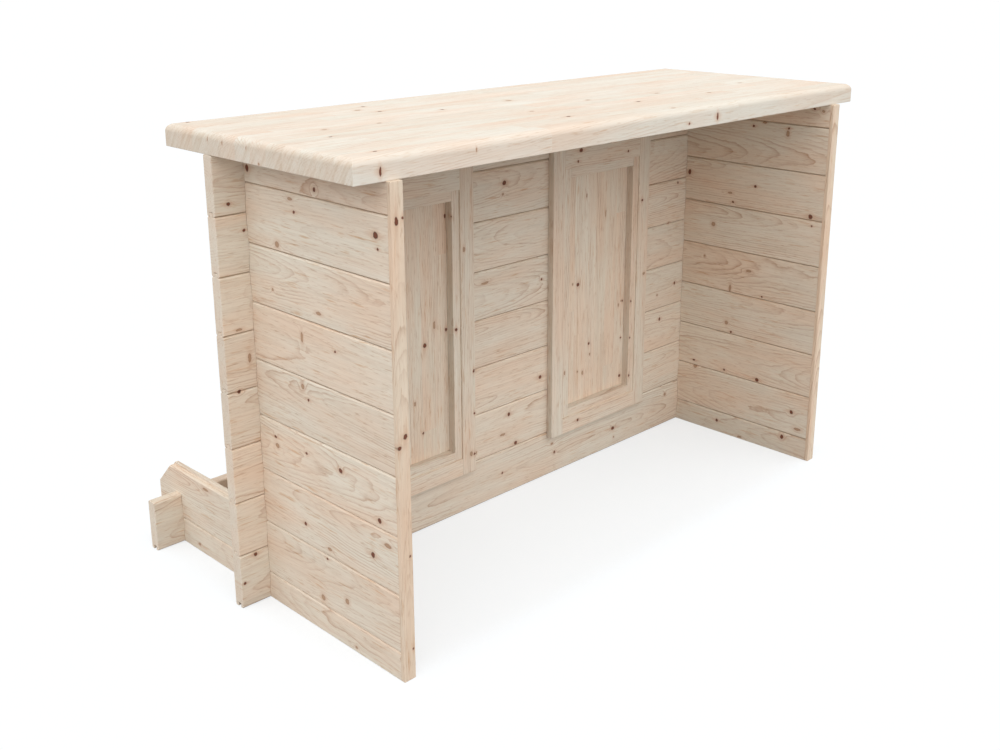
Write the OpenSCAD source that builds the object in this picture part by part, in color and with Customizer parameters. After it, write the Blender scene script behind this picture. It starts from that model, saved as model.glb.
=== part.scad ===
// Garden bar of interlocking log boards: a counter carried by a long wall and two side walls,
// two framed panels in the long wall, and a footrest on the customers' side.
// Millimetres. The origin is the middle of the footprint, on the ground. +Z is up, +X runs
// along the counter, and the open service bay faces -Y.

/* [Logs] */
// Height that each course of logs adds
log_pitch = 121; // [100:1:150]
// Thickness of every log
log_thick = 28; // [20:1:45]
// Length that a log runs on past a corner
corner_overhang = 70; // [40:1:120]
// Width of the tongue on a log's upper edge
tongue_w = 9; // [6:0.5:12]
// Height of the tongue
tongue_h = 8; // [4:0.5:12]
// Play on each side of a tongue in its groove
tongue_side_play = 0.5; // [0.2:0.1:1]
// Play over a tongue in its groove
tongue_top_play = 1; // [0.5:0.1:3]
// Chamfer along a log's milled edges
edge_chamfer = 3; // [1:0.5:5]
// Play on each side of a log in the notch of a crossing log
notch_play = 0.3; // [0.1:0.1:1]

/* [Walls] */
// Clear length of the service bay, between the side walls
bay_length = 1404; // [1000:1:2400]
// Clear depth of the service bay, from the long wall to the side walls' near ends
bay_depth = 436; // [300:1:700]
// Thickness of the trims on the side walls' near ends
trim_thick = 10; // [6:1:25]

/* [Counter] */
// Thickness of the counter top
counter_thick = 45; // [25:1:70]
// Radius of the counter's rounded upper edges
counter_round = 15; // [4:1:22]
// Length that the counter stands out past each side wall
counter_end_overhang = 70; // [20:1:150]
// Depth that the counter stands out past the long wall, over the customers' side
counter_far_overhang = 136; // [40:1:250]

/* [Footrest] */
// Clear gap between the long wall and the footrest board
foot_gap = 328; // [200:1:500]
// Height and depth of the slant at the brackets' outer corners
bracket_slant = 55; // [20:1:80]

/* [Framed panels] */
// Width of wall left between the two openings
middle_pier = 358; // [200:1:600]
// Width of wall left between an opening and the side wall
end_pier = 231; // [120:1:400]
// Height of wall left under the openings
wall_below = 153; // [80:1:300]
// Height of wall left over the openings
wall_above = 151; // [80:1:300]
// Width of the casing boards beside and under an opening
casing_w = 43; // [30:1:70]
// Width of the casing board over an opening
casing_head_w = 54; // [30:1:80]
// Thickness of the casing boards
casing_thick = 18; // [10:1:30]
// Thickness of the liner inside an opening
liner_thick = 23; // [12:1:35]
// Distance that the liner stands out from each face of the wall
liner_proud = 15; // [4:1:25]
// Thickness of the recessed panel
panel_thick = 18; // [6:1:24]

/* [Hidden] */
// Number of whole courses in the long wall
courses = 8;
// Number of side wall courses that run on as footrest brackets
bracket_courses = 2;

half_pitch = log_pitch / 2;
quarter_pitch = log_pitch / 4;
wall_h = courses * log_pitch;
half_thick = log_thick / 2;

groove_w = tongue_w + 2 * tongue_side_play;
groove_depth = tongue_h + tongue_top_play;
notch_w = log_thick + 2 * notch_play;

// Places along X
side_wall_x = bay_length / 2 + half_thick;
log_end_x = side_wall_x + half_thick + corner_overhang;

// Places along Y, from the trims' front faces to the brackets' ends
total_depth = trim_thick + bay_depth + log_thick + foot_gap + log_thick + corner_overhang;
trim_y = -total_depth / 2;
side_near_y = trim_y + trim_thick;
wall_near_y = side_near_y + bay_depth;
wall_mid_y = wall_near_y + half_thick;
wall_far_y = wall_near_y + log_thick;
foot_near_y = wall_far_y + foot_gap;
foot_mid_y = foot_near_y + half_thick;
bracket_end_y = foot_near_y + log_thick + corner_overhang;
corner_end_y = wall_far_y + corner_overhang;

counter_length = bay_length + 2 * (log_thick + counter_end_overhang);
counter_depth = bay_depth + log_thick + counter_far_overhang;
counter_mid_y = side_near_y + counter_depth / 2;

opening_w = (bay_length - middle_pier - 2 * end_pier) / 2;
opening_x = (middle_pier + opening_w) / 2;
opening_h = wall_h - wall_below - wall_above;
liner_depth = log_thick + 2 * liner_proud;

// Extra length of a cutting body past the face that it cuts
cut_past = 1;

log_colour = [0.86, 0.76, 0.62];
end_log_colour = [0.82, 0.72, 0.58];
counter_colour = [0.93, 0.84, 0.68];
trim_colour = [0.88, 0.79, 0.66];
casing_colour = [0.84, 0.74, 0.61];
liner_colour = [0.80, 0.70, 0.57];
panel_colour = [0.87, 0.77, 0.64];

// Cross-section of a log between two heights. A milled edge has the chamfers and the tongue
// or groove of the profile, a sawn edge is square, and a planed upper edge has lost its tongue.
module log_section(bottom, top, lower_edge = "milled", upper_edge = "milled") {
    chamfer = edge_chamfer;
    lower = lower_edge == "sawn"
        ? [[-half_thick, bottom], [half_thick, bottom]]
        : [
            [-half_thick, bottom + chamfer],
            [-half_thick + chamfer, bottom],
            [-groove_w / 2, bottom],
            [-groove_w / 2, bottom + groove_depth],
            [groove_w / 2, bottom + groove_depth],
            [groove_w / 2, bottom],
            [half_thick - chamfer, bottom],
            [half_thick, bottom + chamfer],
        ];
    tongue = upper_edge == "milled"
        ? [
            [tongue_w / 2, top],
            [tongue_w / 2, top + tongue_h],
            [-tongue_w / 2, top + tongue_h],
            [-tongue_w / 2, top],
        ]
        : [];
    upper = upper_edge == "sawn"
        ? [[half_thick, top], [-half_thick, top]]
        : concat(
            [[half_thick, top - chamfer], [half_thick - chamfer, top]],
            tongue,
            [[-half_thick + chamfer, top], [-half_thick, top - chamfer]]
        );
    polygon(concat(lower, upper));
}

// A log section (child) drawn out along X between the log ends, around the given Y
module along_x(mid_y)
    translate([-log_end_x, mid_y, 0])
        rotate([90, 0, 90])
            linear_extrude(height = 2 * log_end_x)
                children();

// A log section (child) drawn out along Y from the near ends to the given Y, around the given X
module along_y(mid_x, end_y)
    translate([mid_x, end_y, 0])
        rotate([90, 0, 0])
            linear_extrude(height = end_y - side_near_y)
                children();

// The space that a crossing log takes out of this one, between two heights
module notch(mid_x, mid_y, bottom, top)
    translate([mid_x - notch_w / 2, mid_y - notch_w / 2, bottom])
        cube([notch_w, notch_w, top - bottom]);

// Both notches of a log along X at one side wall: a quarter of its height below and above
module cross_notches(mid_x, mid_y, bottom) {
    top = bottom + log_pitch;
    notch(mid_x, mid_y, bottom - cut_past, bottom + quarter_pitch);
    notch(mid_x, mid_y, top - quarter_pitch, top + tongue_h + cut_past);
}

// The two openings for the framed panels, right through the long wall
module wall_openings()
    for (side = [-1, 1])
        translate([side * opening_x - opening_w / 2, wall_near_y - cut_past, wall_below])
            cube([opening_w, log_thick + 2 * cut_past, opening_h]);

// One course of the long wall, counted from the ground up
module long_wall_log(course) {
    bottom = (course - 1) * log_pitch;
    top_edge = course == courses ? "planed" : "milled";
    color(log_colour)
        difference() {
            along_x(wall_mid_y)
                log_section(bottom, bottom + log_pitch, "milled", top_edge);
            for (side = [-1, 1])
                cross_notches(side * side_wall_x, wall_mid_y, bottom);
            wall_openings();
        }
}

// The footrest board, laid across the two brackets like a log of the long wall
module footrest_board()
    color(log_colour)
        difference() {
            along_x(foot_mid_y)
                log_section(0, log_pitch, "milled", "planed");
            for (side = [-1, 1])
                cross_notches(side * side_wall_x, foot_mid_y, 0);
        }

// One course of a side wall, half a pitch lower than the long wall's course of that number.
// The lowest and the highest are halves, and the lowest two run on as the footrest's bracket.
module side_wall_log(side, course) {
    mid_x = side * side_wall_x;
    lowest = course == 0;
    highest = course == courses;
    bottom = lowest ? 0 : course * log_pitch - half_pitch;
    top = highest ? wall_h : course * log_pitch + half_pitch;
    is_bracket = course < bracket_courses;
    end_y = is_bracket ? bracket_end_y : corner_end_y;
    crossings = is_bracket ? [wall_mid_y, foot_mid_y] : [wall_mid_y];
    color(end_log_colour)
        difference() {
            along_y(mid_x, end_y)
                log_section(bottom, top, lowest ? "sawn" : "milled", highest ? "sawn" : "milled");
            for (mid_y = crossings) {
                over_footrest = mid_y == foot_mid_y && course == bracket_courses - 1;
                if (!lowest)
                    notch(mid_x, mid_y, bottom - cut_past, bottom + quarter_pitch);
                if (!highest && !over_footrest)
                    notch(mid_x, mid_y, top - quarter_pitch, top + tongue_h + cut_past);
            }
            if (course == bracket_courses - 1)
                bracket_corner(mid_x, top);
        }
}

// The slanted cut at a bracket's outer upper corner
module bracket_corner(mid_x, top) {
    reach = bracket_slant + tongue_h + cut_past;
    translate([mid_x - half_thick - cut_past, bracket_end_y, top])
        rotate([90, 0, 90])
            linear_extrude(height = log_thick + 2 * cut_past)
                polygon([
                    [cut_past, -bracket_slant - cut_past],
                    [cut_past, tongue_h + cut_past],
                    [-reach, tongue_h + cut_past],
                ]);
}

// Cross-section of the counter for a given width, with its two upper edges rounded
module counter_section(width) {
    flat_w = width - 2 * counter_round;
    translate([-width / 2, 0])
        square([width, counter_thick - counter_round]);
    translate([-flat_w / 2, 0])
        square([flat_w, counter_thick]);
    for (side = [-1, 1])
        translate([side * flat_w / 2, counter_thick - counter_round])
            circle(r = counter_round, $fn = 64);
}

// The counter top, rounded along all four upper edges
module counter_top()
    color(counter_colour)
        translate([0, counter_mid_y, wall_h])
            intersection() {
                translate([-counter_length / 2, 0, 0])
                    rotate([90, 0, 90])
                        linear_extrude(height = counter_length)
                            counter_section(counter_depth);
                translate([0, counter_depth / 2, 0])
                    rotate([90, 0, 0])
                        linear_extrude(height = counter_depth)
                            counter_section(counter_length);
            }

// The board that covers the near ends of one side wall's logs
module end_trim(side)
    color(trim_colour)
        translate([side * side_wall_x - half_thick, trim_y, 0])
            cube([log_thick, trim_thick, wall_h]);

// The two upright casing boards on one face of the wall; they run the frame's full height
module casing_stiles(side, back_y)
    color(casing_colour)
        for (edge = [-1, 1])
            translate([
                side * opening_x + edge * (opening_w + casing_w) / 2 - casing_w / 2,
                back_y,
                wall_below - casing_w,
            ])
                cube([casing_w, casing_thick, casing_w + opening_h + casing_head_w]);

// The two level casing boards on one face of the wall, between the stiles
module casing_rails(side, back_y)
    color(casing_colour) {
        left_x = side * opening_x - opening_w / 2;
        translate([left_x, back_y, wall_below - casing_w])
            cube([opening_w, casing_thick, casing_w]);
        translate([left_x, back_y, wall_below + opening_h])
            cube([opening_w, casing_thick, casing_head_w]);
    }

// The two upright liner boards inside one opening
module liner_stiles(side)
    color(liner_colour)
        for (edge = [-1, 1])
            translate([
                side * opening_x + edge * (opening_w - liner_thick) / 2 - liner_thick / 2,
                wall_mid_y - liner_depth / 2,
                wall_below,
            ])
                cube([liner_thick, liner_depth, opening_h]);

// The sill and head boards of the liner, between its stiles
module liner_rails(side)
    color(liner_colour)
        for (z = [wall_below, wall_below + opening_h - liner_thick])
            translate([
                side * opening_x - opening_w / 2 + liner_thick,
                wall_mid_y - liner_depth / 2,
                z,
            ])
                cube([opening_w - 2 * liner_thick, liner_depth, liner_thick]);

// The recessed panel, held by the liner in the middle of the wall
module panel(side)
    color(panel_colour)
        translate([
            side * opening_x - opening_w / 2 + liner_thick,
            wall_mid_y - panel_thick / 2,
            wall_below + liner_thick,
        ])
            cube([opening_w - 2 * liner_thick, panel_thick, opening_h - 2 * liner_thick]);

// The casing boards lie flat on the wall's faces
near_casing_y = wall_near_y - casing_thick;
far_casing_y = wall_far_y;

counter_top();
long_wall_log(1);  // long_wall_log_1
long_wall_log(2);  // long_wall_log_2
long_wall_log(3);  // long_wall_log_3
long_wall_log(4);  // long_wall_log_4
long_wall_log(5);  // long_wall_log_5
long_wall_log(6);  // long_wall_log_6
long_wall_log(7);  // long_wall_log_7
long_wall_log(8);  // long_wall_log_8
side_wall_log(-1, 0);  // left_wall_bottom_log
side_wall_log(-1, 1);  // left_wall_log_1
side_wall_log(-1, 2);  // left_wall_log_2
side_wall_log(-1, 3);  // left_wall_log_3
side_wall_log(-1, 4);  // left_wall_log_4
side_wall_log(-1, 5);  // left_wall_log_5
side_wall_log(-1, 6);  // left_wall_log_6
side_wall_log(-1, 7);  // left_wall_log_7
side_wall_log(-1, 8);  // left_wall_top_log
side_wall_log(1, 0);  // right_wall_bottom_log
side_wall_log(1, 1);  // right_wall_log_1
side_wall_log(1, 2);  // right_wall_log_2
side_wall_log(1, 3);  // right_wall_log_3
side_wall_log(1, 4);  // right_wall_log_4
side_wall_log(1, 5);  // right_wall_log_5
side_wall_log(1, 6);  // right_wall_log_6
side_wall_log(1, 7);  // right_wall_log_7
side_wall_log(1, 8);  // right_wall_top_log
footrest_board();
end_trim(-1);  // left_end_trim
end_trim(1);  // right_end_trim
panel(-1);  // left_panel
liner_stiles(-1);  // left_liner_stiles
liner_rails(-1);  // left_liner_rails
casing_stiles(-1, near_casing_y);  // left_near_casing_stiles
casing_rails(-1, near_casing_y);  // left_near_casing_rails
casing_stiles(-1, far_casing_y);  // left_far_casing_stiles
casing_rails(-1, far_casing_y);  // left_far_casing_rails
panel(1);  // right_panel
liner_stiles(1);  // right_liner_stiles
liner_rails(1);  // right_liner_rails
casing_stiles(1, near_casing_y);  // right_near_casing_stiles
casing_rails(1, near_casing_y);  // right_near_casing_rails
casing_stiles(1, far_casing_y);  // right_far_casing_stiles
casing_rails(1, far_casing_y);  // right_far_casing_rails
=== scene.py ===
"""Looks of the garden bar: bare softwood on every log, board and panel, and a plain white studio."""
import math
import random
from collections import namedtuple

import bpy
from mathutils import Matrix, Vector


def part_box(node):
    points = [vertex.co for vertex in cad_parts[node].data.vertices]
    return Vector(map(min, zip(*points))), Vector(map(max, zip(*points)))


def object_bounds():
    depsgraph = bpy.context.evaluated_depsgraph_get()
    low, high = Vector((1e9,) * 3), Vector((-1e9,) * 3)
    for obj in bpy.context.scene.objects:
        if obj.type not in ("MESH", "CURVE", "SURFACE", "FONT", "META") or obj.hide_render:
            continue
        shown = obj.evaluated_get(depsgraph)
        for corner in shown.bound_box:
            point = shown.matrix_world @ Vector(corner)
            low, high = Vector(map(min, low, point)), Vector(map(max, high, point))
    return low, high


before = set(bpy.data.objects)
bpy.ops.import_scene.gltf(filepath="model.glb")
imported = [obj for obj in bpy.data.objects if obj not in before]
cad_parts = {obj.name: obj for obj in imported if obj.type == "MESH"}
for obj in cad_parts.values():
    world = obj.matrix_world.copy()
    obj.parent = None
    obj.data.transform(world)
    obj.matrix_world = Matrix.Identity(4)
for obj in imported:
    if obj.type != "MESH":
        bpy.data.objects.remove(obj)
cad_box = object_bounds()

# The camera of the photograph, in metres and degrees
CAMERA_PLACE = (-1.969, -1.972, 1.342)
CAMERA_AZIMUTH = -45.24
CAMERA_ELEVATION = 16.40
CAMERA_LENS = 42.51
CAMERA_SENSOR = 36.0
CAMERA_SHIFT = (-0.0143, -0.0781)

# The floor, in metres. Light that bounces finds it grey. The camera sees it glow white, with only part of the
# glow on the bar's footprint, where the shadow shows.
FLOOR_SIZE = 60.0
FLOOR_COLOUR = (0.96, 0.985, 1.0)
FLOOR_BOUNCE = (0.31, 0.31, 0.32)
FLOOR_GLOW = 0.58
FLOOR_GLOW_COLOUR = (1.0, 1.02, 1.035)
FLOOR_SHADE_INSET = 0.05
FLOOR_SHADE_FADE = 0.11

# A sky that is brightest halfway up, with a soft lobe in front of the bar and one at its left, each given
# by its direction and gain, and a weak lamp straight above
SKY_HORIZON = 0.05
SKY_MIDDLE = 0.80
SKY_ZENITH = 0.10
SKY_MIDDLE_HEIGHT = 0.5
SKY_LOBES = (((0.22, -0.77, 0.60), 1.02), ((-0.79, 0.11, 0.60), 0.90))
SKY_LOBE_REACH = (0.25, 0.95)
LAMP_HEIGHT = 5.0
LAMP_SIZE = 0.7
LAMP_POWER = 3.0

# Softwood, linear: pale early wood, the darker line that ends each year's growth, and the share of fine grain
LOG_WOOD = ((0.85, 0.766, 0.652), (0.60, 0.42, 0.30), 1.0)
TRIM_WOOD = ((0.84, 0.712, 0.573), (0.60, 0.42, 0.30), 1.0)
COUNTER_WOOD = ((0.81, 0.766, 0.69), (0.70, 0.565, 0.455), 0.70)
LATE_WOOD_SHARE = 0.92

# World axes, and which of them run along the grain, across the face and through the thickness of a board
X, Y, Z = range(3)
LEVEL_ALONG_X = (X, Z, Y)
LEVEL_ALONG_Y = (Y, Z, X)
UPRIGHT = (Z, X, Y)
FLAT = (X, Y, Z)

# Growth rings, in metres: their spacing, and how much the pith wanders along the board
LOG_RINGS = (0.0055, 1.0)
STRIP_RINGS = (0.0045, 0.35)
# Waves per metre along, across and through the board, and reach
PITH_DRIFT = ((2.6, 6.0, 6.0), (0.0, 0.03, 0.04))
RING_RIPPLE = ((30.0, 90.0, 90.0), (0.0, 0.0035, 0.0035))
RING_DETAIL = 3.0
# How dark a ring is from the start of a year to its end, how much years differ, and patches of fainter rings
LATE_WOOD_RISE = ((0.0, 0.05), (0.25, 0.0), (0.60, 0.12), (0.82, 0.55), (0.93, 1.0), (1.0, 0.05))
YEAR_STRENGTH = (0.15, 1.0)
PATCH_WAVES = (4.0, 16.0, 16.0)
PATCH_VALUES = (0.36, 0.64)
PATCH_STRENGTH = (0.25, 1.15)

# Layers of grain: the waves per metre, detail and roughness of a noise, and the tints at a low and a high
# value of it
BROAD_GRAIN = {
    "streak": (((1.2, 30.0, 20.0), 3.0, 0.55), (0.30, (0.96, 0.935, 0.905), 0.70, (1.0, 1.015, 1.01))),
    "blush": (((3.0, 11.0, 11.0), 3.0, 0.5), (0.40, (1.0, 1.0, 1.0), 0.66, (1.01, 0.905, 0.85))),
}
FINE_GRAIN = {
    "grain": (((9.0, 260.0, 260.0), 3.0, 0.6), (0.32, (0.93, 0.91, 0.89), 0.58, (1.01, 1.01, 1.01))),
    "fleck": (((38.0, 420.0, 420.0), 2.0, 0.5), (0.60, (1.0, 1.0, 1.0), 0.74, (0.80, 0.70, 0.62))),
    "dash": (((15.0, 170.0, 170.0), 3.0, 0.6), (0.59, (1.0, 1.0, 1.0), 0.73, (0.85, 0.69, 0.55))),
    "fibre": (((22.0, 950.0, 950.0), 2.0, 0.6), (0.25, (0.95, 0.95, 0.95), 0.75, (1.03, 1.03, 1.03))),
}

# Glued strips: width and length, the distance of each strip's pith, how far apart their grain lies in the
# noises, and their tints
COUNTER_STRIPS = (0.05, 0.62)
PANEL_STRIP_COUNT = 6
PANEL_STRIP_LENGTH = 1.6
STRIP_PITH = 0.075
STRIP_SPREAD = (30.0, 30.0, 30.0)
STRIP_TINTS = (0.0, (0.98, 0.965, 0.945), 1.0, (1.03, 1.03, 1.03))

# End grain, and the slanted strokes on the ends of glued strips; a face counts as an end by how squarely it
# crosses the grain
END_GRAIN = (0.74, 0.64, 0.53)
END_FACING = (0.75, 0.95)
END_SHARE = 0.35
STROKE_FACING = (0.6, 0.9)
STROKE_LEAN = 0.7
STROKE_NOISE = ((4.0, 130.0, 14.0), 3.0, 0.6)
STROKE_TINTS = (0.34, (0.91, 0.86, 0.80), 0.60, (1.01, 1.01, 1.01))

# Tints of faces: painted shade on faces that look down, such as the chamfers under a log, a painted
# highlight on faces that look up, such as the chamfers over it, and a cool grey on the edge faces of frame
# boards
PLAIN_TINT = (1.0, 1.0, 1.0)
# Painted shade: faces that look down are darkened
DOWNWARD_PAINTED_SHADE = (0.58, 0.50, 0.43)
# Painted highlight: faces that look up are lightened
UPWARD_PAINTED_HIGHLIGHT = (1.05, 1.07, 1.08)
CHAMFER_SLOPE = (0.35, 0.6)
EDGE_GREY_TINT = (0.88, 0.92, 0.96)
EDGE_GREY_FACING = (0.6, 0.9)
EDGE_GREY_MARGIN = (0.002, 0.001)

# Surface: roughness and relief, and the softened edges in metres
FIBRE_VALUES = (0.2, 0.8)
ROUGHNESS = (0.60, 0.76)
LATE_WOOD_GLOSS = 0.10
LATE_RELIEF = 0.5
FIBRE_RELIEF = 0.4
GRAIN_RELIEF = 0.5
RELIEF_STRENGTH = 0.3
RELIEF_HEIGHT = 0.0006
SPECULAR = 0.25
CORNER_WELD = 0.00002
EDGE_ROUNDING = 0.0012
EDGE_SEGMENTS = 2
EDGE_ANGLE = 35.0

# Knots: colours of the heart and the rim, how well they cover the wood, and colours of the halo and of resin
DARK_KNOT = ((0.20, 0.070, 0.040), (0.10, 0.036, 0.024))
SOFT_KNOT = ((0.45, 0.27, 0.16), (0.33, 0.17, 0.095))
DARK_STRENGTH = 1.0
SOFT_STRENGTH = 0.85
KNOT_HALO = (0.66, 0.44, 0.30)
RESIN = (0.62, 0.40, 0.20)
# Where a knot's parts begin and end, in its own radii, and their shares
KNOT_HEART = (0.20, 0.60)
KNOT_RIM = 0.92
KNOT_RAMP = 2.0
KNOT_EDGE = (0.80, 1.25)
HALO_REACH = (0.9, 3.0)
HALO_SHARE = 0.42
STREAK_REACH = (0.4, 1.6)
STREAK_SHARE = 0.5
STREAK_LENGTH = 4.5
RESIN_REACH = (0.3, 1.3)
RESIN_SHARE = 0.30
# Rings swell round a knot, and its outline wobbles: waves per metre and reach in metres
BULGE_REACH = (0.5, 4.5)
BULGE_HEIGHT = 0.006
KNOT_WOBBLE = ((140.0, 140.0, 140.0), (0.004, 0.004, 0.0))

# Knots seen in the photograph, in millimetres of the part's frame: place along the face, height, half length
# and half height. The right side wall shows the left one's boards, lower down, and knots of its own above.
LEFT_WALL_DARK = (
    (-233, 925, 4, 4), (-16, 937, 5, 7), (-165, 873, 3, 3), (-406, 869, 6, 6), (-181, 503, 3, 3),
    (-275, 384, 5, 5), (-165, 386, 3, 3), (-59, 390, 4, 3), (-390, 320, 5, 5), (-366, 240, 5, 6),
    (-149, 227, 4, 4), (-218, 174, 3, 2.5), (-274, 625, 2.5, 2.5), (-411, 845, 2.5, 2.5),
)
LEFT_WALL_SOFT = (
    (-154, 897, 7, 3), (-104, 801, 6, 6), (-228, 689, 8, 3), (-80, 706, 3, 3), (-170, 629, 3.5, 10),
    (-164, 527, 5, 5), (-64, 372, 6, 5), (-412, 276, 10, 4), (-228, 199, 7, 3), (-278, 103, 6, 6),
    (-198, 79, 6, 6), (-302, 10, 4, 3), (240, 170, 12, 3), (285, 17, 6, 3),
)
RIGHT_WALL_LOWER = 193
RIGHT_WALL_DARK = ((-218, 893, 3, 3), (-325, 897, 3, 3), (-396, 954, 4, 3))
RIGHT_WALL_SOFT = ((-323, 883, 5, 8), (-251, 905, 6, 2.5), (-422, 950, 4, 3))
LONG_WALL_DARK = (
    (-18, 809, 6, 5), (113, 545, 2.5, 2.5), (-123, 361, 4.5, 4.5), (110, 284, 5, 5), (-4, 214, 4, 5),
    (20, 129, 5, 5), (-28, 60, 3, 3), (167, 57, 3, 4), (407, 54, 6, 5), (665, 717, 3, 3), (667, 425, 3, 4),
    (603, 331, 3, 5), (-769, 870, 4, 4), (-738, 813, 3, 3), (-773, 485, 4, 4), (-762, 114, 4, 4),
    (-792, 57, 3, 3),
)
LONG_WALL_SOFT = (
    (-23, 782, 3, 3), (-85, 575, 12, 2.5), (-26, 165, 9, 3), (-122, 250, 3, 3), (-119, 144, 3, 4),
    (157, 84, 5, 3), (412, 26, 3, 3), (641, 91, 5, 4), (629, 607, 4, 3), (588, 405, 3, 3),
    (-764, 614, 7, 3), (-744, 550, 3.5, 9),
)
FRAME_DARK = (
    (257, 501, 5, 5), (304, 328, 3.5, 3.5), (437, 313, 2.5, 2.5), (436, 202, 4, 4), (486, 696, 4, 3),
    (238, 133, 4, 4), (225, 833, 3, 3), (235, 860, 6, 5), (421, 836, 3, 3), (453, 203, 3, 3.5),
    (441, 419, 2.5, 3.5), (453, 419, 2.5, 3.5), (453, 314, 2.5, 2.5), (-274, 461, 5, 5), (-285, 245, 3, 3),
    (-207, 485, 3.5, 4), (-193, 486, 4, 4), (-205, 757, 3, 5), (-141, 371, 3, 4), (-140, 261, 2.5, 2.5),
    (-141, 155, 3, 3),
)
FRAME_SOFT = (
    (236, 506, 2.5, 3), (286, 734, 2, 6), (363, 675, 1.5, 9), (260, 259, 3, 3), (280, 250, 3, 6),
    (308, 297, 2.5, 4), (424, 410, 2.5, 5), (435, 420, 2.5, 3), (502, 489, 4, 4), (187, 279, 2.5, 5),
    (-308, 325, 3, 5), (-244, 504, 3, 9), (-168, 676, 3, 6), (-152, 158, 4, 6),
)
TRIM_DARK = (
    (-705, 903, 2.5, 2.5), (-719, 899, 3.5, 8), (-712, 502, 4.5, 5), (-726, 483, 4, 4),
    (-709, 261, 2, 2.5), (-707, 65, 2, 2.5),
)
# On the counter's top the second number is the place across it
COUNTER_DARK = (
    (-365, 83, 4, 4), (-390, -5, 4, 4), (-275, -75, 4, 4), (-675, -215, 4, 3), (-165, -340, 5, 4),
    (-720, -400, 4, 3), (130, -285, 5, 4), (-760, 140, 4, 4),
)
COUNTER_SOFT = (
    (-410, 45, 7, 5), (-630, -135, 5, 4), (-500, -140, 5, 3), (-65, -65, 8, 5), (385, -295, 6, 4),
    (285, -215, 6, 4), (615, -225, 7, 4), (95, -410, 6, 4), (70, -185, 6, 4), (-160, -230, 5, 4),
)
# On the counter's near edge and left end the second number is the height
COUNTER_EDGE_DARK = ((-742, 986, 2.5, 8), (218, 986, 3, 8), (114, 980, 2.5, 2.5))
COUNTER_EDGE_SOFT = ((-520, 997, 1.5, 4),)
COUNTER_END_SOFT = ((3, 999, 1.2, 4), (-48, 997, 1.2, 4), (-128, 997, 1.0, 3), (-166, 972, 2.5, 2.5))
# A run of resin below a knot of the right panel
PANEL_RESIN = ((257, 325, 2.6, 175),)
# How deep the knots of the counter's edges and of the liners go, in metres
COUNTER_KNOT_FADE = 0.03
LINER_KNOT_FADE = 0.005
MILLIMETRES = 1000

# Scattered knots of unseen faces: the hidden stretches of the long wall as shares of its length, counts per
# metre, places as shares of the spacing and of the width, radii in metres, and slim spikes
HIDDEN_LEFT = (0.07, 0.18)
HIDDEN_RIGHT = (0.945, 0.99)
HIDDEN_DARK = 5.0
HIDDEN_SOFT = 4.0
UNSEEN_DARK = 2.5
UNSEEN_SOFT = 1.5
SCATTER_ALONG = (0.15, 0.85)
SCATTER_ACROSS = (-0.42, 0.42)
SCATTER_RADIUS = (0.0025, 0.0055)
SPIKE_SHARE = 0.2
SPIKE_STRETCH = (1.4, 0.45)

# What differs from board to board: the pith's place across as a share of the width, its depth in metres, its
# taper in metres per metre, the tone, and the place in the noises
SEED = 28121
PITH_ACROSS = (-0.3, 0.3)
PITH_DEPTH = (0.03, 0.06)
PITH_TAPER = (0.06, 0.11)
BOARD_TONE = (0.97, 1.02)
NOISE_PLACE = (5.0, 60.0)
NOISE_STEP = (1.0, 0.7, 1.3)

# What the softwood of one board is made from. pith is where the tree's middle lay, across and through the
# board from its centre, and taper is how much nearer it comes along the board. strips is the width and the
# length of glued strips. jointed is for wall logs, whose faces that look up get a painted highlight and whose
# faces that look down get painted shade. The next one is how far from the centre a frame board's cool grey
# edge faces begin.
Timber = namedtuple(
    "Timber",
    "axes centre dark_knots soft_knots resin wood strips jointed sawn_from pith taper tone seed",
)


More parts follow.
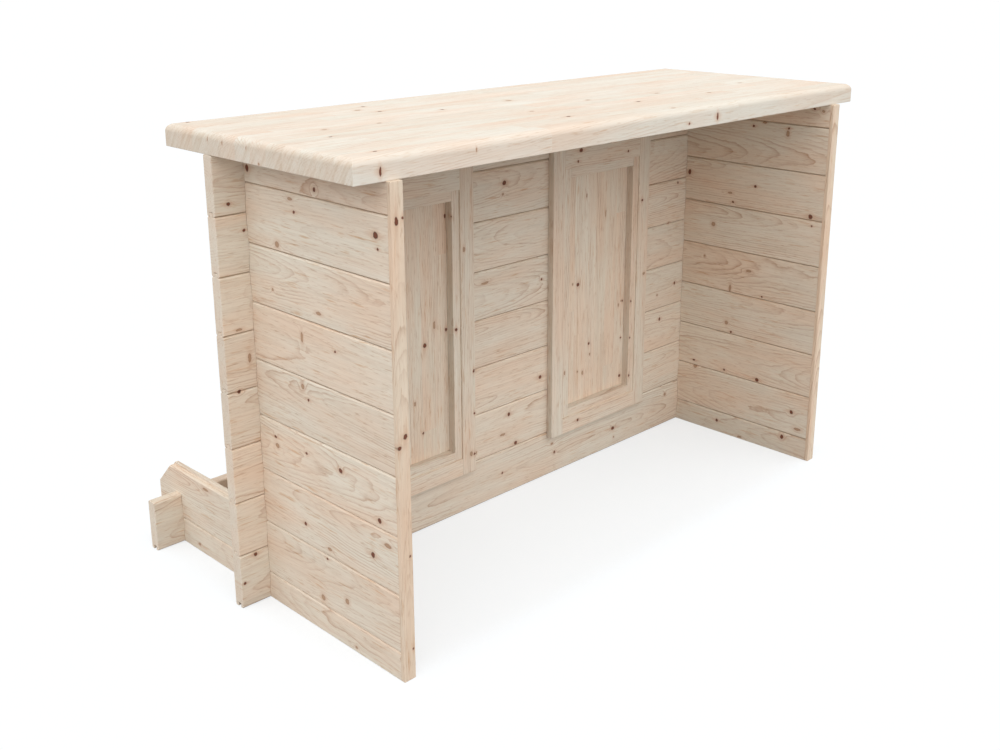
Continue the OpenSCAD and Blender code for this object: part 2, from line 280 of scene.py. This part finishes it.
class Shader:
    """A node tree under construction, with one short call per node."""

    def __init__(self, owner):
        owner.use_nodes = True
        self.tree = owner.node_tree
        self.tree.nodes.clear()

    def node(self, kind, **settings):
        made = self.tree.nodes.new(kind)
        for key, value in settings.items():
            setattr(made, key, value)
        return made

    def feed(self, socket, value):
        """Links a socket to another one, or sets its plain value."""
        if isinstance(value, bpy.types.NodeSocket):
            self.tree.links.new(value, socket)
        else:
            socket.default_value = value

    def feed_all(self, made, values):
        for socket, value in zip(made.inputs, values):
            self.feed(socket, value)

    def math(self, operation, *values):
        made = self.node("ShaderNodeMath", operation=operation)
        self.feed_all(made, values)
        return made.outputs[0]

    def vector(self, operation, *values):
        made = self.node("ShaderNodeVectorMath", operation=operation)
        self.feed_all(made, values)
        return made.outputs["Value" if operation in ("LENGTH", "DOT_PRODUCT") else "Vector"]

    def split(self, vector):
        made = self.node("ShaderNodeSeparateXYZ")
        self.feed(made.inputs[0], vector)
        return made.outputs

    def join(self, *values):
        made = self.node("ShaderNodeCombineXYZ")
        self.feed_all(made, values)
        return made.outputs[0]

    def noise(self, point, waves, detail=2.0, roughness=0.5):
        """Noise with the given number of waves per metre along, across and through."""
        made = self.node("ShaderNodeTexNoise")
        self.feed(made.inputs["Vector"], self.vector("MULTIPLY", point, waves))
        made.inputs["Scale"].default_value = 1.0
        made.inputs["Detail"].default_value = detail
        made.inputs["Roughness"].default_value = roughness
        return made.outputs

    def wander(self, point, waves, reach, detail=2.0):
        """A smooth random offset vector of about the given reach."""
        colour = self.noise(point, waves, detail)["Color"]
        return self.vector("MULTIPLY", self.vector("SUBTRACT", colour, (0.5, 0.5, 0.5)), reach)

    def dice(self, value, dimensions="1D"):
        made = self.node("ShaderNodeTexWhiteNoise", noise_dimensions=dimensions)
        self.feed(made.inputs["W" if dimensions == "1D" else "Vector"], value)
        return made.outputs

    def remap(self, value, low, high, to_low, to_high):
        made = self.node("ShaderNodeMapRange", interpolation_type="SMOOTHSTEP")
        self.feed_all(made, (value, low, high, to_low, to_high))
        return made.outputs[0]

    def rise(self, value, reach, share=1.0):
        """A share that comes in over a reach of values."""
        return self.remap(value, *reach, 0.0, share)

    def fade(self, value, reach, share=1.0):
        """A share that goes out over a reach of values."""
        return self.remap(value, *reach, share, 0.0)

    def ramp(self, factor, stops):
        made = self.node("ShaderNodeValToRGB")
        self.feed(made.inputs[0], factor)
        points = made.color_ramp.elements
        while len(points) < len(stops):
            points.new(1.0)
        for point, (place, colour) in zip(points, stops):
            point.position = place
            point.color = (*colour, 1.0)
        return made.outputs[0]

    def blend(self, factor, first, second, kind="MIX"):
        made = self.node("ShaderNodeMix", data_type="RGBA", blend_type=kind)
        self.feed(made.inputs[0], factor)
        for socket, value in zip((made.inputs[6], made.inputs[7]), (first, second)):
            self.feed(socket, (*value, 1.0) if isinstance(value, tuple) else value)
        return made.outputs[2]

    def tint(self, colour, factor, low, low_tint, high, high_tint):
        """Multiplies a colour by a tint that changes with a factor."""
        return self.blend(1.0, colour, self.ramp(factor, ((low, low_tint), (high, high_tint))), "MULTIPLY")

    def facing(self, axis):
        """How squarely the surface crosses a world axis."""
        normal = self.node("ShaderNodeTexCoord").outputs["Normal"]
        direction = tuple(float(axis == each) for each in (X, Y, Z))
        return self.math("ABSOLUTE", self.vector("DOT_PRODUCT", normal, direction))


def grey(level):
    return (level, level, level)


def board_point(shader, axes, centre):
    """The point in the board's own axes: along the grain, across the face, through the thickness."""
    coordinates = shader.node("ShaderNodeTexCoord").outputs["Object"]
    parts = shader.split(shader.vector("SUBTRACT", coordinates, centre))
    return shader.join(*(parts[axis] for axis in axes))


def nearest_of(shader, distances):
    """The least of some distances, or None without any."""
    nearest = None
    for distance in distances:
        nearest = distance if nearest is None else shader.math("MINIMUM", nearest, distance)
    return nearest


def knot_distance(shader, point, knots, along_scale=1.0):
    """Distance to the nearest knot, in that knot's own radii, which may be longer along the grain."""
    distances = []
    for place, (along, across, through) in knots:
        stretch = (along / along_scale, across, through)
        offset = shader.vector("SUBTRACT", point, place)
        distances.append(shader.vector("LENGTH", shader.vector("MULTIPLY", offset, stretch)))
    return nearest_of(shader, distances)


def glued_strips(shader, point, lookup, timber):
    """Pith line, noise place and tone of the glued strips that a counter or a panel is made of."""
    width, length = timber.strips
    along, across = shader.split(point)[:2]
    row = shader.math("FLOOR", shader.math("DIVIDE", across, width))
    stagger = shader.dice(row)["Value"]
    piece = shader.math("FLOOR", shader.math("ADD", shader.math("DIVIDE", along, length), stagger))
    dice = shader.dice(shader.join(row, piece, timber.seed), "3D")
    spread = shader.vector("SUBTRACT", dice["Color"], (0.5, 0.5, 0.5))
    row_middle = shader.math("MULTIPLY", shader.math("ADD", row, 0.5), width)
    side = shader.math("SIGN", shader.split(spread)["Y"])
    pith_across = shader.math("ADD", row_middle, shader.math("MULTIPLY", side, STRIP_PITH))
    pith_point = shader.join(0.0, pith_across, timber.pith[1])
    place = shader.vector("ADD", lookup, shader.vector("MULTIPLY", spread, STRIP_SPREAD))
    return pith_point, place, dice["Value"]


def growth_rings(shader, point, lookup, pith_point, bulge, timber):
    """How much late wood there is at a point: thin lines round the pith, which slants and wanders."""
    spacing, wandering = STRIP_RINGS if timber.strips else LOG_RINGS
    from_pith = shader.vector("SUBTRACT", point, pith_point)
    slant = shader.math("MULTIPLY", shader.split(point)["X"], timber.taper)
    from_pith = shader.vector("ADD", from_pith, shader.join(0.0, 0.0, slant))
    for waves, reach in (PITH_DRIFT, RING_RIPPLE):
        scaled_reach = tuple(part * wandering for part in reach)
        from_pith = shader.vector("ADD", from_pith, shader.wander(lookup, waves, scaled_reach, RING_DETAIL))
    radius = shader.vector("LENGTH", shader.vector("MULTIPLY", from_pith, (0.0, 1.0, 1.0)))
    if bulge is not None:
        radius = shader.math("ADD", radius, shader.math("MULTIPLY", bulge, wandering))
    year = shader.math("DIVIDE", radius, spacing)
    year_dice = shader.dice(shader.math("ADD", shader.math("FLOOR", year), timber.seed))["Value"]
    line = shader.ramp(shader.math("FRACT", year), [(place, grey(level)) for place, level in LATE_WOOD_RISE])
    line = shader.math("MULTIPLY", line, shader.remap(year_dice, 0.0, 1.0, *YEAR_STRENGTH))
    patch = shader.noise(lookup, PATCH_WAVES, RING_DETAIL)["Fac"]
    return shader.math("MULTIPLY", line, shader.remap(patch, *PATCH_VALUES, *PATCH_STRENGTH))


def grain_colour(shader, lookup, late, wood):
    """Early and late wood with broad streaks and fine grain, and the noises that they come from."""
    early_colour, late_colour, fine_share = wood
    noises = {}

    def lay(colour, layers):
        for name, (noise, tints) in layers.items():
            noises[name] = shader.noise(lookup, *noise)["Fac"]
            colour = shader.tint(colour, noises[name], *tints)
        return colour

    rings = shader.blend(shader.math("MULTIPLY", late, LATE_WOOD_SHARE), early_colour, late_colour)
    broad = lay(rings, BROAD_GRAIN)
    return shader.blend(fine_share, broad, lay(broad, FINE_GRAIN)), noises


def lay_end_grain(shader, colour, lookup, timber):
    """End grain, greyer than the faces, with slanted strokes on glued strips."""
    facing = shader.facing(timber.axes[0])
    colour = shader.blend(shader.rise(facing, END_FACING, END_SHARE), colour, END_GRAIN)
    if timber.strips:
        lean = shader.math("MULTIPLY", shader.split(lookup)["Z"], STROKE_LEAN)
        leaning = shader.vector("ADD", lookup, shader.join(0.0, lean, 0.0))
        stroke = shader.noise(leaning, *STROKE_NOISE)["Fac"]
        stroked = shader.tint(colour, stroke, *STROKE_TINTS)
        colour = shader.blend(shader.rise(facing, STROKE_FACING), colour, stroked)
    return colour


def lay_edge_grey_and_painted_light(shader, colour, point, timber):
    """Cool grey edge faces of a frame board; on a wall log, painted highlight up and painted shade down."""
    if timber.sawn_from is not None:
        from_middle = shader.math("ABSOLUTE", shader.split(point)["Y"])
        outermost = shader.rise(from_middle, [timber.sawn_from - margin for margin in EDGE_GREY_MARGIN])
        edge_grey = shader.math("MULTIPLY", shader.facing(timber.axes[1]), outermost)
        low, high = EDGE_GREY_FACING
        colour = shader.tint(colour, edge_grey, low, PLAIN_TINT, high, EDGE_GREY_TINT)
    if timber.jointed:
        low, high = CHAMFER_SLOPE
        upward = shader.split(shader.node("ShaderNodeNewGeometry").outputs["True Normal"])["Z"]
        downward = shader.math("MULTIPLY", upward, -1.0)
        # Painted highlight on faces that look up, and painted shade on faces that look down
        colour = shader.tint(colour, upward, low, PLAIN_TINT, high, UPWARD_PAINTED_HIGHLIGHT)
        colour = shader.tint(colour, downward, low, PLAIN_TINT, high, DOWNWARD_PAINTED_SHADE)
    return colour


def paint_knots(shader, colour, distance, tones, strength):
    """Lays knots with a heart, a darker rim and a warm halo over a wood colour."""
    heart, rim = tones
    colour = shader.blend(shader.fade(distance, HALO_REACH, HALO_SHARE), colour, KNOT_HALO)
    stops = [(place / KNOT_RAMP, heart) for place in KNOT_HEART] + [(KNOT_RIM / KNOT_RAMP, rim)]
    knot = shader.ramp(shader.math("DIVIDE", distance, KNOT_RAMP), stops)
    return shader.blend(shader.fade(distance, KNOT_EDGE, strength), colour, knot)


def softwood(name, timber):
    """Sawn softwood: growth rings round a pith line, fibres, streaks, knots and end grain."""
    material = bpy.data.materials.new(name)
    shader = Shader(material)
    point = board_point(shader, timber.axes, timber.centre)
    lookup = shader.vector("ADD", point, tuple(timber.seed * step for step in NOISE_STEP))
    knot_point = shader.vector("ADD", point, shader.wander(lookup, *KNOT_WOBBLE))
    dark = knot_distance(shader, knot_point, timber.dark_knots)
    soft = knot_distance(shader, knot_point, timber.soft_knots)
    nearest = nearest_of(shader, [distance for distance in (dark, soft) if distance is not None])
    bulge = None if nearest is None else shader.fade(nearest, BULGE_REACH, BULGE_HEIGHT)

    pith_point = (0.0, *timber.pith)
    if timber.strips:
        pith_point, lookup, strip_tone = glued_strips(shader, point, lookup, timber)
    late = growth_rings(shader, point, lookup, pith_point, bulge, timber)
    colour, noises = grain_colour(shader, lookup, late, timber.wood)
    if timber.strips:
        colour = shader.tint(colour, strip_tone, *STRIP_TINTS)
    colour = lay_end_grain(shader, colour, lookup, timber)
    colour = lay_edge_grey_and_painted_light(shader, colour, point, timber)
    if timber.resin:
        run = knot_distance(shader, knot_point, timber.resin)
        colour = shader.blend(shader.fade(run, RESIN_REACH, RESIN_SHARE), colour, RESIN)
    if soft is not None:
        colour = paint_knots(shader, colour, soft, SOFT_KNOT, SOFT_STRENGTH)
    if dark is not None:
        streaks = knot_distance(shader, knot_point, timber.dark_knots, STREAK_LENGTH)
        colour = shader.blend(shader.fade(streaks, STREAK_REACH, STREAK_SHARE), colour, KNOT_HALO)
        colour = paint_knots(shader, colour, dark, DARK_KNOT, DARK_STRENGTH)
    colour = shader.blend(1.0, colour, grey(timber.tone), "MULTIPLY")

    fibre = noises["fibre"]
    gloss = shader.math("MULTIPLY", late, LATE_WOOD_GLOSS)
    rough = shader.math("SUBTRACT", shader.remap(fibre, *FIBRE_VALUES, *ROUGHNESS), gloss)
    height = shader.math("MULTIPLY", late, LATE_RELIEF)
    height = shader.math("ADD", height, shader.math("MULTIPLY", fibre, FIBRE_RELIEF))
    height = shader.math("ADD", height, shader.math("MULTIPLY", noises["grain"], GRAIN_RELIEF))
    bump = shader.node("ShaderNodeBump")
    bump.inputs["Strength"].default_value = RELIEF_STRENGTH
    bump.inputs["Distance"].default_value = RELIEF_HEIGHT
    shader.feed(bump.inputs["Height"], height)

    surface = shader.node("ShaderNodeBsdfPrincipled")
    surface.inputs["Specular IOR Level"].default_value = SPECULAR
    shader.feed(surface.inputs["Base Color"], colour)
    shader.feed(surface.inputs["Roughness"], rough)
    shader.feed(surface.inputs["Normal"], bump.outputs[0])
    output = shader.node("ShaderNodeOutputMaterial")
    shader.feed(output.inputs["Surface"], surface.outputs[0])
    return material


class Board:
    """A CAD node's box, and the knots on it in the board's own axes."""

    def __init__(self, node, axes):
        self.axes = axes
        self.low, self.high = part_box(node)
        self.centre = (self.low + self.high) / 2
        size = self.high - self.low
        self.length = size[axes[0]]
        self.width = size[axes[1]]

    def seen_knots(self, marks, face, lower=0.0, depth=None, fade=0.0):
        """The photograph's knots that lie on the board.

        face holds the two world axes that the marks run along. A knot goes right through the board, or has
        its middle at depth, a place on the third axis, and ends there within fade.
        """
        first, second = face
        third = X + Y + Z - first - second
        found = []
        for first_place, second_place, half_length, half_height in marks:
            place = [0.0, 0.0, 0.0]
            place[first] = first_place / MILLIMETRES
            place[second] = (second_place - lower) / MILLIMETRES
            place[third] = self.centre[third] if depth is None else depth
            if all(self.low[axis] < place[axis] < self.high[axis] for axis in face):
                stretch = [0.0, 0.0, 0.0]
                stretch[first] = MILLIMETRES / half_length
                stretch[second] = MILLIMETRES / half_height
                stretch[third] = 0.0 if depth is None else 1.0 / fade
                offset = tuple(place[axis] - self.centre[axis] for axis in self.axes)
                found.append((offset, tuple(stretch[axis] for axis in self.axes)))
        return found

    def random_knots(self, dice, per_metre, start=0.0, end=1.0):
        """Knots scattered over part of the board's length, some of them slim spikes."""
        span = (end - start) * self.length
        count = int(span * per_metre + dice.random())
        knots = []
        for index in range(count):
            step = (index + dice.uniform(*SCATTER_ALONG)) / count
            along = start * self.length + step * span - self.length / 2
            across = dice.uniform(*SCATTER_ACROSS) * self.width
            radius = dice.uniform(*SCATTER_RADIUS)
            spike = dice.random() < SPIKE_SHARE
            along_stretch, across_stretch = SPIKE_STRETCH if spike else (1.0, 1.0)
            knots.append(((along, across, 0.0), (along_stretch / radius, across_stretch / radius, 0.0)))
        return knots


def grain_axes(node):
    """The axes of a node's grain."""
    if node == "counter_top":
        return FLAT
    if node.startswith("long_wall") or node == "footrest_board" or node.endswith("rails"):
        return LEVEL_ALONG_X
    if "_wall_" in node:
        return LEVEL_ALONG_Y
    return UPRIGHT


def photo_knots(node, board):
    """The dark and the soft knots that the photograph shows on a node."""
    face = (X, Z)
    if node == "counter_top":
        near = {"face": face, "depth": board.low[Y], "fade": COUNTER_KNOT_FADE}
        end = {"face": (Y, Z), "depth": board.low[X], "fade": COUNTER_KNOT_FADE}
        dark = board.seen_knots(COUNTER_DARK, (X, Y)) + board.seen_knots(COUNTER_EDGE_DARK, **near)
        soft = board.seen_knots(COUNTER_SOFT, (X, Y)) + board.seen_knots(COUNTER_EDGE_SOFT, **near)
        return dark, soft + board.seen_knots(COUNTER_END_SOFT, **end)
    if node.startswith("long_wall"):
        return board.seen_knots(LONG_WALL_DARK, face), board.seen_knots(LONG_WALL_SOFT, face)
    if node.startswith("left_wall"):
        return board.seen_knots(LEFT_WALL_DARK, (Y, Z)), board.seen_knots(LEFT_WALL_SOFT, (Y, Z))
    if node.startswith("right_wall"):
        dark = board.seen_knots(LEFT_WALL_DARK, (Y, Z), RIGHT_WALL_LOWER)
        soft = board.seen_knots(LEFT_WALL_SOFT, (Y, Z), RIGHT_WALL_LOWER)
        own_dark = board.seen_knots(RIGHT_WALL_DARK, (Y, Z))
        own_soft = board.seen_knots(RIGHT_WALL_SOFT, (Y, Z))
        return dark + own_dark, soft + own_soft
    if node.endswith("trim"):
        return board.seen_knots(TRIM_DARK, face), []
    if "liner" in node:
        near = {"face": face, "depth": board.low[Y], "fade": LINER_KNOT_FADE}
        return board.seen_knots(FRAME_DARK, **near), board.seen_knots(FRAME_SOFT, **near)
    if "far" in node or node == "footrest_board":
        return [], []
    return board.seen_knots(FRAME_DARK, face), board.seen_knots(FRAME_SOFT, face)


def board_knots(node, board, dice):
    """All dark and soft knots of a node, with scattered ones where the photograph shows none."""
    dark, soft = photo_knots(node, board)
    if node.startswith("long_wall"):
        dark += board.random_knots(dice, HIDDEN_DARK, *HIDDEN_LEFT)
        soft += board.random_knots(dice, HIDDEN_SOFT, *HIDDEN_RIGHT)
    elif not (dark or soft or "liner" in node or node.endswith("trim")):
        dark += board.random_knots(dice, UNSEEN_DARK)
        soft += board.random_knots(dice, UNSEEN_SOFT)
    return dark, soft


def board_timber(node, board, dice):
    """The softwood that a node is made from."""
    dark_knots, soft_knots = board_knots(node, board, dice)
    wood = LOG_WOOD
    strips = None
    resin = []
    sawn_from = None
    if node == "counter_top":
        wood = COUNTER_WOOD
        strips = COUNTER_STRIPS
    elif node.endswith("trim"):
        wood = TRIM_WOOD
    elif node.endswith("panel"):
        strips = (board.width / PANEL_STRIP_COUNT, PANEL_STRIP_LENGTH)
        resin = board.seen_knots(PANEL_RESIN, (X, Z))
    elif node.endswith("casing_stiles"):
        sawn_from = board.width / 2
    elif "liner" in node:
        sawn_from = 0.0
    pith_across = dice.uniform(*PITH_ACROSS) * board.width
    pith_through = dice.choice((-1, 1)) * dice.uniform(*PITH_DEPTH)
    return Timber(
        axes=board.axes,
        centre=tuple(board.centre),
        dark_knots=dark_knots,
        soft_knots=soft_knots,
        resin=resin,
        wood=wood,
        strips=strips,
        jointed="_log" in node,
        sawn_from=sawn_from,
        pith=(pith_across, pith_through),
        taper=dice.choice((-1, 1)) * dice.uniform(*PITH_TAPER),
        tone=dice.uniform(*BOARD_TONE),
        seed=dice.uniform(*NOISE_PLACE),
    )


def soften_edges(piece):
    """Rounds a piece's edges a little, without a change of its mesh."""
    weld = piece.modifiers.new("join_corners", "WELD")
    weld.merge_threshold = CORNER_WELD
    bevel = piece.modifiers.new("soft_edges", "BEVEL")
    bevel.width = EDGE_ROUNDING
    bevel.segments = EDGE_SEGMENTS
    bevel.limit_method = "ANGLE"
    bevel.angle_limit = math.radians(EDGE_ANGLE)
    normals = piece.modifiers.new("even_normals", "WEIGHTED_NORMAL")
    normals.keep_sharp = False


def dress_node(node, index):
    """Gives a CAD node its own piece of softwood and softens its edges."""
    dice = random.Random(SEED + index)
    board = Board(node, grain_axes(node))
    material = softwood(node + "_wood", board_timber(node, board, dice))
    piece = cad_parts[node]
    for slot in piece.material_slots:
        slot.material = material
    soften_edges(piece)


def add_camera():
    """The photograph's camera."""
    data = bpy.data.cameras.new("camera")
    data.lens = CAMERA_LENS
    data.sensor_width = CAMERA_SENSOR
    data.shift_x, data.shift_y = CAMERA_SHIFT
    camera = bpy.data.objects.new("camera", data)
    camera.location = CAMERA_PLACE
    camera.rotation_euler = (math.radians(90.0 - CAMERA_ELEVATION), 0.0, math.radians(CAMERA_AZIMUTH))
    bpy.context.scene.collection.objects.link(camera)
    bpy.context.scene.camera = camera


def seen_directly(shader):
    """One for rays from the camera, mirrors and glass, which see the white studio."""
    path = shader.node("ShaderNodeLightPath").outputs
    mirrored = shader.math("MAXIMUM", path["Is Glossy Ray"], path["Is Transmission Ray"])
    return shader.math("MAXIMUM", path["Is Camera Ray"], mirrored)


def add_floor():
    """A plain white floor that keeps a faint shadow."""
    half = FLOOR_SIZE / 2
    mesh = bpy.data.meshes.new("floor")
    corners = [(-half, -half, 0), (half, -half, 0), (half, half, 0), (-half, half, 0)]
    mesh.from_pydata(corners, [], [(0, 1, 2, 3)])
    floor = bpy.data.objects.new("floor", mesh)
    bpy.context.scene.collection.objects.link(floor)

    material = bpy.data.materials.new("floor_white")
    shader = Shader(material)
    direct = seen_directly(shader)
    plain = shader.node("ShaderNodeBsdfDiffuse")
    shader.feed(plain.inputs["Color"], shader.blend(direct, FLOOR_BOUNCE, FLOOR_COLOUR))
    glow = shader.node("ShaderNodeEmission")
    glow.inputs["Color"].default_value = (*FLOOR_GLOW_COLOUR, 1.0)
    mix = shader.node("ShaderNodeMixShader")
    place = shader.node("ShaderNodeTexCoord").outputs["Object"]
    shaded_half = (cad_box[1][X] - FLOOR_SHADE_INSET, cad_box[1][Y] - FLOOR_SHADE_INSET, 0.0)
    past = shader.vector("SUBTRACT", shader.vector("ABSOLUTE", place), shaded_half)
    away = shader.vector("LENGTH", shader.vector("MAXIMUM", past, (0.0, 0.0, 0.0)))
    share = shader.remap(away, 0.0, FLOOR_SHADE_FADE, FLOOR_GLOW, 1.0)
    shader.feed(mix.inputs[0], shader.math("MULTIPLY", direct, share))
    shader.feed(mix.inputs[1], plain.outputs[0])
    shader.feed(mix.inputs[2], glow.outputs[0])
    output = shader.node("ShaderNodeOutputMaterial")
    shader.feed(output.inputs["Surface"], mix.outputs[0])
    mesh.materials.append(material)


def add_light():
    """A sky with two soft lobes, plain white where it is seen directly, and a weak lamp straight above."""
    world = bpy.data.worlds.new("studio")
    bpy.context.scene.world = world
    shader = Shader(world)
    direction = shader.node("ShaderNodeTexCoord").outputs["Generated"]
    upward = shader.split(direction)["Z"]
    low_sky = shader.remap(upward, 0.0, SKY_MIDDLE_HEIGHT, SKY_HORIZON, SKY_MIDDLE)
    high_sky = shader.remap(upward, SKY_MIDDLE_HEIGHT, 1.0, 0.0, SKY_ZENITH - SKY_MIDDLE)
    sky = shader.math("ADD", low_sky, high_sky)
    for middle, gain in SKY_LOBES:
        toward = shader.vector("DOT_PRODUCT", direction, middle)
        sky = shader.math("ADD", sky, shader.rise(toward, SKY_LOBE_REACH, gain))
    direct = seen_directly(shader)
    shaded = shader.math("MULTIPLY", sky, shader.math("SUBTRACT", 1.0, direct))
    background = shader.node("ShaderNodeBackground")
    background.inputs["Color"].default_value = (1.0, 1.0, 1.0, 1.0)
    shader.feed(background.inputs["Strength"], shader.math("ADD", shaded, direct))
    output = shader.node("ShaderNodeOutputWorld")
    shader.feed(output.inputs["Surface"], background.outputs[0])

    lamp_data = bpy.data.lights.new("overhead", "AREA")
    lamp_data.shape = "DISK"
    lamp_data.size = LAMP_SIZE
    lamp_data.energy = LAMP_POWER
    lamp = bpy.data.objects.new("overhead", lamp_data)
    lamp.location = (0.0, 0.0, LAMP_HEIGHT)
    bpy.context.scene.collection.objects.link(lamp)


bpy.context.scene.view_settings.view_transform = "Standard"
add_camera()
add_floor()
add_light()
for index, node in enumerate(sorted(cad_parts)):
    dress_node(node, index)

bpy.context.view_layer.update()
